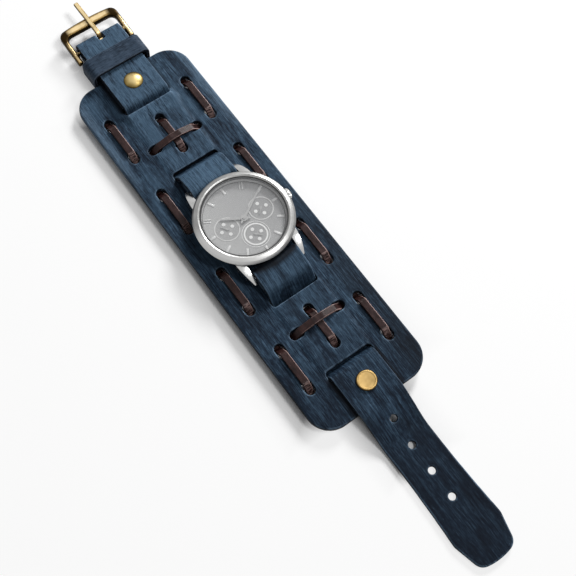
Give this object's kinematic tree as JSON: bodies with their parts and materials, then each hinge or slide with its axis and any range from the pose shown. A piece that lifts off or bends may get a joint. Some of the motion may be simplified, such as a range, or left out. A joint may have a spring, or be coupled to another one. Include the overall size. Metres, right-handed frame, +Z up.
{
  "type": "cuff watch",
  "caption": "Round wristwatch with small dials on a wide laced leather cuff, with a strap, keeper and pin buckle, lying open.",
  "frame": {"origin": "middle of the cuff base's underside, on the axis of the dial", "axes": "+X to 3 o'clock and the crown, +Y along the cuff to the buckle, +Z up through the dial"},
  "size_m": [0.0516, 0.2792, 0.014],
  "materials": {
    "cuff_leather": "worn, waxed, dark navy",
    "strap_leather": "worn, waxed, dark navy",
    "lace_leather": "smooth dark red-brown",
    "antique_brass": "antiqued, semi-matt",
    "case_steel": "brushed",
    "bezel_steel": "satin, polished crest",
    "glass": "clear mineral glass",
    "gasket_rubber": "matt black",
    "rehaut_black": "satin black",
    "dial_grey": "sunray grey",
    "marker_silver": "polished",
    "hand_steel": "satin",
    "movement_brass": "machined",
    "inner_steel": "plain",
    "spacer_plastic": "moulded",
    "board_green": "lacquered",
    "coil_copper": "enamelled copper wire"
  },
  "bodies": {
    "cuff": {"cuff_base": "cuff_leather", "buckle_strap": "strap_leather", "tail_strap": "strap_leather", "side_lace_left": "lace_leather", "side_lace_right": "lace_leather", "cross_upright_upper": "lace_leather", "cross_upright_lower": "lace_leather", "cross_bar_upper": "lace_leather", "cross_bar_lower": "lace_leather", "buckle_rivet_cap": "antique_brass", "buckle_rivet_post": "antique_brass", "tail_rivet_cap": "antique_brass", "tail_rivet_post": "antique_brass", "case_body": "case_steel", "case_back": "case_steel", "bezel": "bezel_steel", "crystal": "glass", "crystal_gasket": "gasket_rubber", "case_back_gasket": "gasket_rubber", "crown_gasket": "gasket_rubber", "rehaut_ring": "rehaut_black", "dial": "dial_grey", "hour_markers": "marker_silver", "subdial_pips": "marker_silver", "subdial_ring_left": "marker_silver", "subdial_ring_right": "marker_silver", "subdial_ring_lower": "marker_silver", "movement_plate": "movement_brass", "crown_tube": "inner_steel", "battery_cell": "inner_steel", "battery_clamp": "inner_steel", "spring_bar_tube_upper": "inner_steel", "spring_bar_tube_lower": "inner_steel", "bar_spring_upper": "inner_steel", "bar_spring_lower": "inner_steel", "movement_spacer": "spacer_plastic", "circuit_board": "board_green", "coil": "coil_copper"},
    "keeper": {"keeper_loop": "strap_leather"},
    "buckle": {"buckle_frame": "antique_brass", "buckle_pin": "antique_brass"},
    "tongue": {"buckle_tongue": "antique_brass"},
    "minute": {"minute_hand": "hand_steel", "cannon_pinion": "movement_brass"},
    "hour": {"hour_hand": "hand_steel", "hour_wheel": "movement_brass"},
    "small_left": {"small_hand_left": "hand_steel"},
    "small_lower": {"small_hand_lower": "hand_steel"},
    "small_right": {"small_hand_right": "hand_steel"},
    "crown_slide": {"stem_yoke": "inner_steel"},
    "crown_knob": {"crown": "case_steel", "winding_stem": "inner_steel"},
    "pin_upper_left": {"spring_pin_upper_left": "inner_steel"},
    "pin_upper_right": {"spring_pin_upper_right": "inner_steel"},
    "pin_lower_left": {"spring_pin_lower_left": "inner_steel"},
    "pin_lower_right": {"spring_pin_lower_right": "inner_steel"}
  },
  "joints": [
    {"name": "keeper_slide", "type": "slide", "parent": "cuff", "child": "keeper", "axis": [0, 1, 0], "range_m": [0, 0.002]},
    {"name": "buckle_swing", "type": "hinge", "parent": "cuff", "child": "buckle", "pos_m": [0, 0.1032, 0.0032], "axis": [1, 0, 0], "range_deg": [-60, 10]},
    {"name": "tongue_swing", "type": "hinge", "parent": "buckle", "child": "tongue", "pos_m": [0, 0.1032, 0.0032], "axis": [1, 0, 0], "range_deg": [0, 36]},
    {"name": "minute_hand_turn", "type": "hinge", "parent": "cuff", "child": "minute", "pos_m": [0, 0, 0], "axis": [0, 0, -1], "continuous": true},
    {"name": "hour_hand_turn", "type": "hinge", "parent": "cuff", "child": "hour", "pos_m": [0, 0, 0], "axis": [0, 0, -1], "continuous": true},
    {"name": "small_hand_left_turn", "type": "hinge", "parent": "cuff", "child": "small_left", "pos_m": [-0.0079, 0, 0], "axis": [0, 0, -1], "continuous": true},
    {"name": "small_hand_lower_turn", "type": "hinge", "parent": "cuff", "child": "small_lower", "pos_m": [0, -0.0079, 0], "axis": [0, 0, -1], "continuous": true},
    {"name": "small_hand_right_turn", "type": "hinge", "parent": "cuff", "child": "small_right", "pos_m": [0.0079, 0, 0], "axis": [0, 0, -1], "continuous": true},
    {"name": "crown_pull", "type": "slide", "parent": "cuff", "child": "crown_slide", "axis": [1, 0, 0], "range_m": [0, 0.0012]},
    {"name": "crown_turn", "type": "hinge", "parent": "crown_slide", "child": "crown_knob", "pos_m": [0, 0, 0.00637], "axis": [1, 0, 0], "continuous": true},
    {"name": "pin_upper_left_press", "type": "slide", "parent": "cuff", "child": "pin_upper_left", "axis": [1, 0, 0], "range_m": [0, 0.0012], "stiffness_N_per_m": 200, "springref_m": -0.002},
    {"name": "pin_upper_right_press", "type": "slide", "parent": "cuff", "child": "pin_upper_right", "axis": [-1, 0, 0], "range_m": [0, 0.0012], "stiffness_N_per_m": 200, "springref_m": -0.002},
    {"name": "pin_lower_left_press", "type": "slide", "parent": "cuff", "child": "pin_lower_left", "axis": [1, 0, 0], "range_m": [0, 0.0012], "stiffness_N_per_m": 200, "springref_m": -0.002},
    {"name": "pin_lower_right_press", "type": "slide", "parent": "cuff", "child": "pin_lower_right", "axis": [-1, 0, 0], "range_m": [0, 0.0012], "stiffness_N_per_m": 200, "springref_m": -0.002}
  ],
  "couplings": [
    {"joint": "hour_hand_turn", "follows": "minute_hand_turn", "ratio": 0.083333},
    {"joint": "small_hand_right_turn", "follows": "minute_hand_turn", "ratio": 0.041667}
  ]
}
